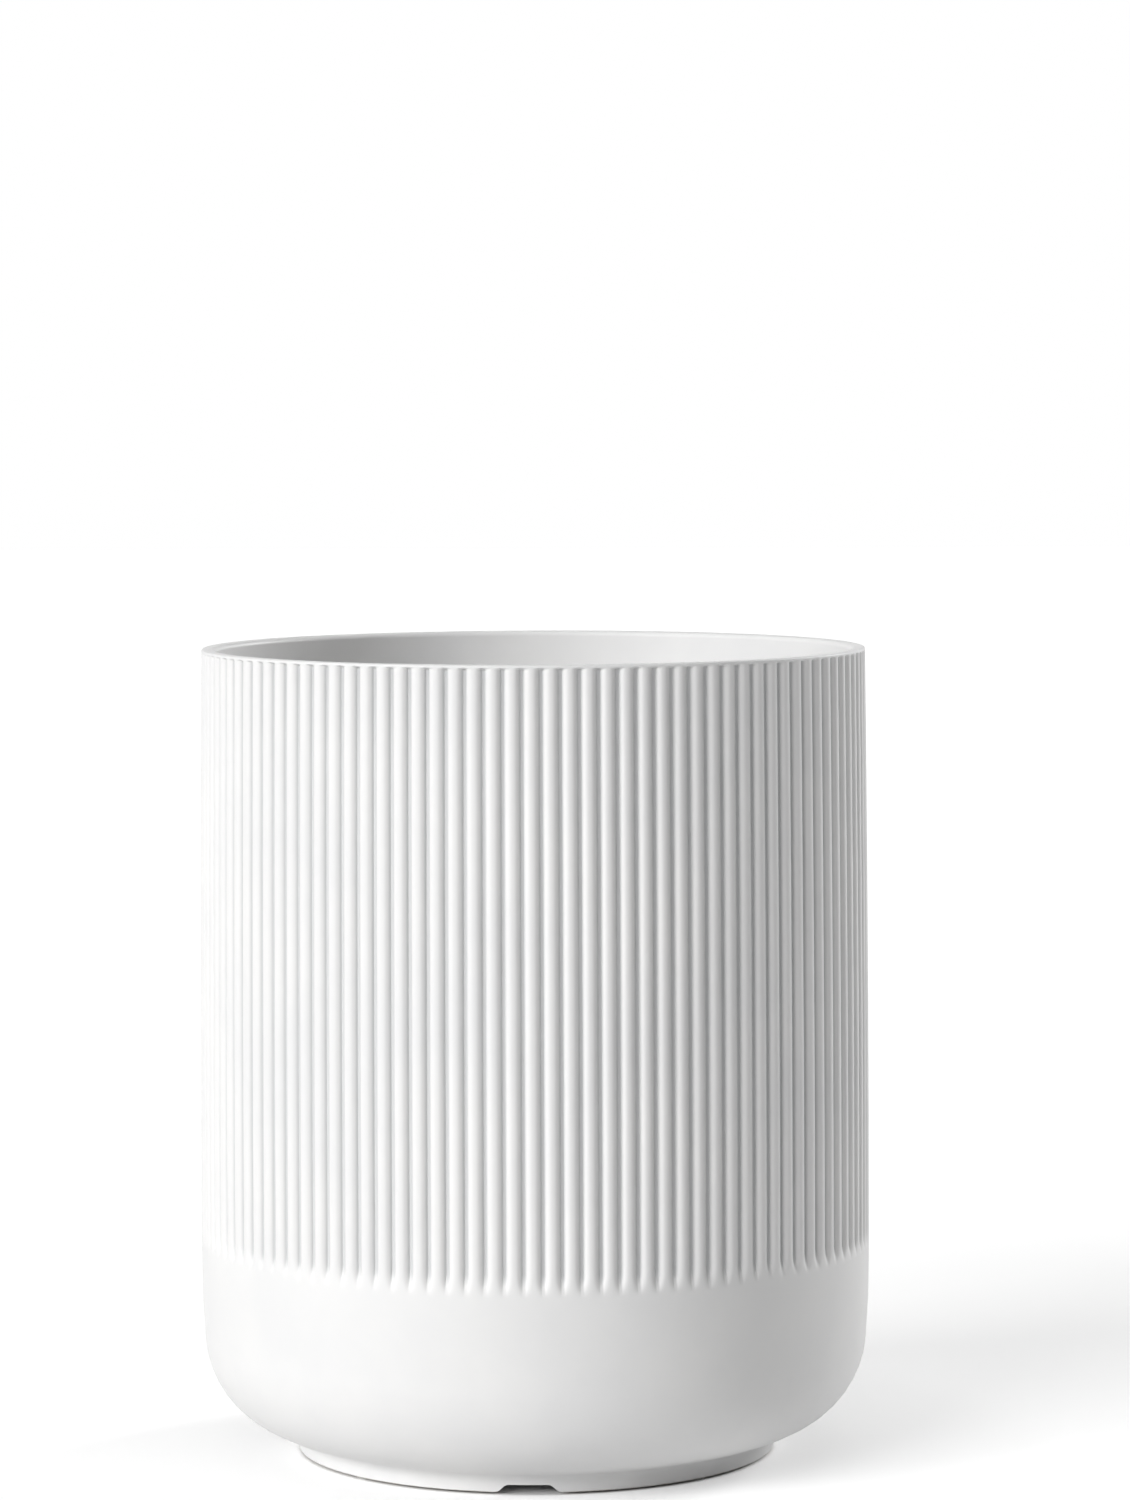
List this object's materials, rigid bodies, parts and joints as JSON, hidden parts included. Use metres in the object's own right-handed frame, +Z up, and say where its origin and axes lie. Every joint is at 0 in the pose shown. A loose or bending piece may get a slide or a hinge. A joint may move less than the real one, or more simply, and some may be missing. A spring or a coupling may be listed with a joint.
{
  "type": "utensil crock",
  "caption": "Round countertop utensil crock in white matt stoneware: fine vertical ribs, plain band and rounded corner below, narrow notched foot ring on soft pads.",
  "frame": {"origin": "on the table under the middle of the crock, level with the undersides of the foot pads", "axes": "+Z up along the crock's axis; -Y towards the front, where the drain notch is; +X to the right seen from the front"},
  "size_m": [0.15, 0.15, 0.18],
  "materials": {
    "stoneware": "matte",
    "pads": "satin"
  },
  "bodies": {
    "root": {"crock_body": "stoneware", "foot_pad_1": "pads", "foot_pad_2": "pads", "foot_pad_3": "pads", "foot_pad_4": "pads"}
  },
  "joints": []
}
